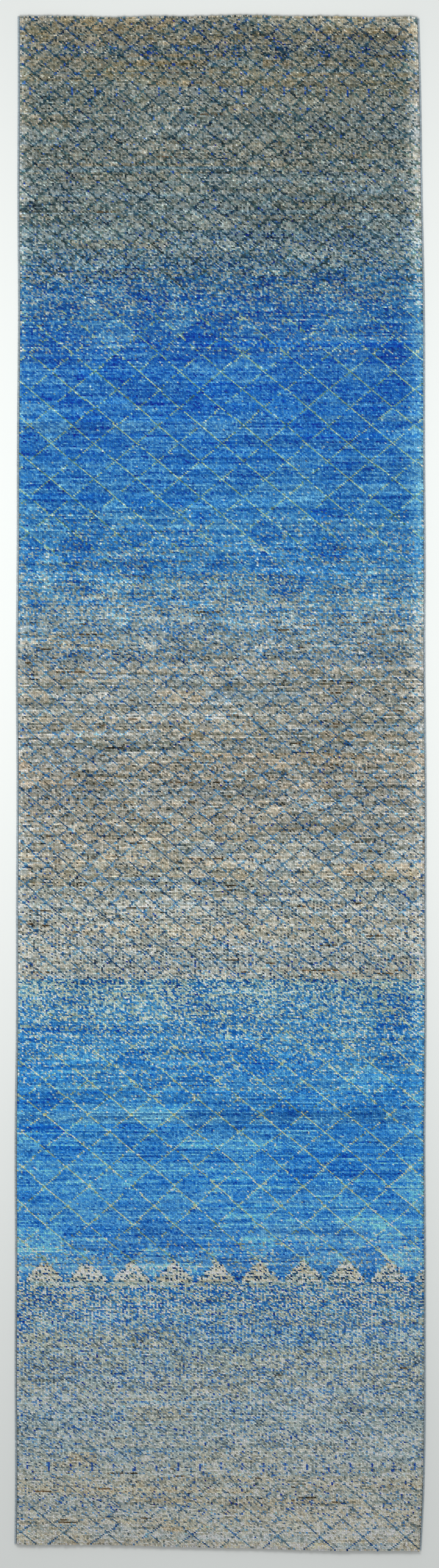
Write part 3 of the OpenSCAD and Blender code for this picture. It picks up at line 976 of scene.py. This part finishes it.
def end_pieces(name):
    """Twining, hem and hem stitches of one end, "far" or "near"."""
    low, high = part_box("twining_" + name)
    x = np.linspace(low.x, high.x, 905)
    spin = 2 * np.pi * x / TWIST
    radius = (high.z - low.z) / 4
    centre = middle("twining_" + name)
    strands = [
        laid(x, centre.y + 0.4 * radius * np.cos(spin + half), centre.z + radius * np.sin(spin + half))
        for half in (0, np.pi)
    ]
    made = tubes(f"twining_{name}_strands", np.stack(strands), radius, 7, TWINING_YARNS)
    as_piece(made, cotton, "twining_cotton", "twining_" + name)

    low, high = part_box("hem_" + name)
    j, i = np.meshgrid(np.arange(2 * HEM_RIBS + 1), np.arange(HEM_COLUMNS + 1), indexing="ij")
    ridge = 0.12 * MM * (j % 2) + 0.05 * MM * (i % 2)
    hem_x = np.linspace(low.x, high.x, HEM_COLUMNS + 1)[i]
    hem_y = np.linspace(high.y, low.y, 2 * HEM_RIBS + 1)[j]
    points = laid(hem_x, hem_y, ridge)
    skin = Skin()
    grid = skin.add(points)
    rng = stream("hem" + name)
    yarns = HEM_YARN * (1 + 0.05 * rng.normal(0, 1, (2 * HEM_RIBS, 1, 1))) * np.ones((1, HEM_COLUMNS, 1))
    faces = quads(grid).reshape(-1, 4)[:, ::-1]
    where = cell_map(2 * HEM_RIBS, HEM_COLUMNS, 0).reshape(-1, 4, 2)[:, ::-1]
    skin.face(faces, yarns.reshape(-1, 3), where)
    close(skin, grid, high.z, points, HEM_YARN, flip=False)
    as_piece(skin.object(f"hem_{name}_band"), cotton, "hem_weave", "hem_" + name)

    low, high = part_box("hem_stitches_" + name)
    x = np.linspace(low.x, high.x, STITCHES)
    reach = np.linspace(-1, 1, 7)
    radius = (high.z - low.z) / 2
    path_x = x[:, None] + 1.2 * MM * reach
    path_y = (low.y + high.y) / 2 + 1.9 * MM * reach
    path_z = radius + 0.02 * MM + 0.25 * MM * reach**4
    paths = laid(path_x, path_y[None], path_z[None])
    yarns = np.repeat(STITCH_YARN[None], STITCHES, 0)
    made = tubes(f"hem_{name}_stitching", paths, radius, 5, yarns)
    as_piece(made, cotton, "hem_thread", "hem_stitches_" + name)


end_pieces("far")
end_pieces("near")

# -------------------- stage, lights and camera

FRAME_HEIGHT = 3.069  # metres of floor from the top to the bottom of the picture
CAMERA_Z = 14.0
SENSOR = 36.0
CAMERA_X = CAMERA_Y = -0.001  # the photo's middle lies that far from the rug's
FLOOR_HALF, FLOOR_COLOUR, FLOOR_ROUGHNESS = 60.0, (0.86, 0.885, 0.86, 1), 0.7
LAMP_X, LAMP_Z, LAMP_SIZE, LAMP_WATTS = -0.12, 2.0, 1.3, 29
SKY_COLOUR, SKY_STRENGTH = (0.97, 0.985, 1, 1), 0.5


def floor():
    """A plain pale floor under the rug."""
    mesh = bpy.data.meshes.new("floor")
    half = FLOOR_HALF
    corners = [(-half, -half, 0), (half, -half, 0), (half, half, 0), (-half, half, 0)]
    mesh.from_pydata(corners, [], [(0, 1, 2, 3)])
    made = bpy.data.objects.new("floor", mesh)
    bpy.context.scene.collection.objects.link(made)
    mat = bpy.data.materials.new("floor_paint")
    mat.use_nodes = True
    bsdf = mat.node_tree.nodes["Principled BSDF"]
    bsdf.inputs["Base Color"].default_value = FLOOR_COLOUR
    bsdf.inputs["Roughness"].default_value = FLOOR_ROUGHNESS
    made.data.materials.append(mat)


def area_light(name, place, aim, size, watts):
    """A square lamp at a place, turned to the point it is aimed at."""
    lamp = bpy.data.lights.new(name, "AREA")
    lamp.shape = "RECTANGLE"
    lamp.size, lamp.size_y, lamp.energy = size, size, watts
    made = bpy.data.objects.new(name, lamp)
    bpy.context.scene.collection.objects.link(made)
    made.location = place
    away = np.array(place) - np.array(aim)
    made.rotation_euler = (
        math.atan2(math.hypot(away[0], away[1]), away[2]), 0, math.atan2(away[1], away[0]) + math.pi / 2)


floor()
area_light("key_light", (LAMP_X, FULL_LIGHT_Y, LAMP_Z), (0, FULL_LIGHT_Y, 0), LAMP_SIZE, LAMP_WATTS)

world = bpy.data.worlds.new("world")
world.use_nodes = True
world.node_tree.nodes["Background"].inputs["Color"].default_value = SKY_COLOUR
world.node_tree.nodes["Background"].inputs["Strength"].default_value = SKY_STRENGTH
bpy.context.scene.world = world
bpy.context.scene.view_settings.view_transform = "Standard"

lens = bpy.data.cameras.new("camera")
lens.sensor_fit = "VERTICAL"
lens.sensor_height = SENSOR
lens.lens = SENSOR * CAMERA_Z / FRAME_HEIGHT
lens.clip_end = 100
camera = bpy.data.objects.new("camera", lens)
camera.location = (CAMERA_X, CAMERA_Y, CAMERA_Z)
bpy.context.scene.collection.objects.link(camera)
bpy.context.scene.camera = camera
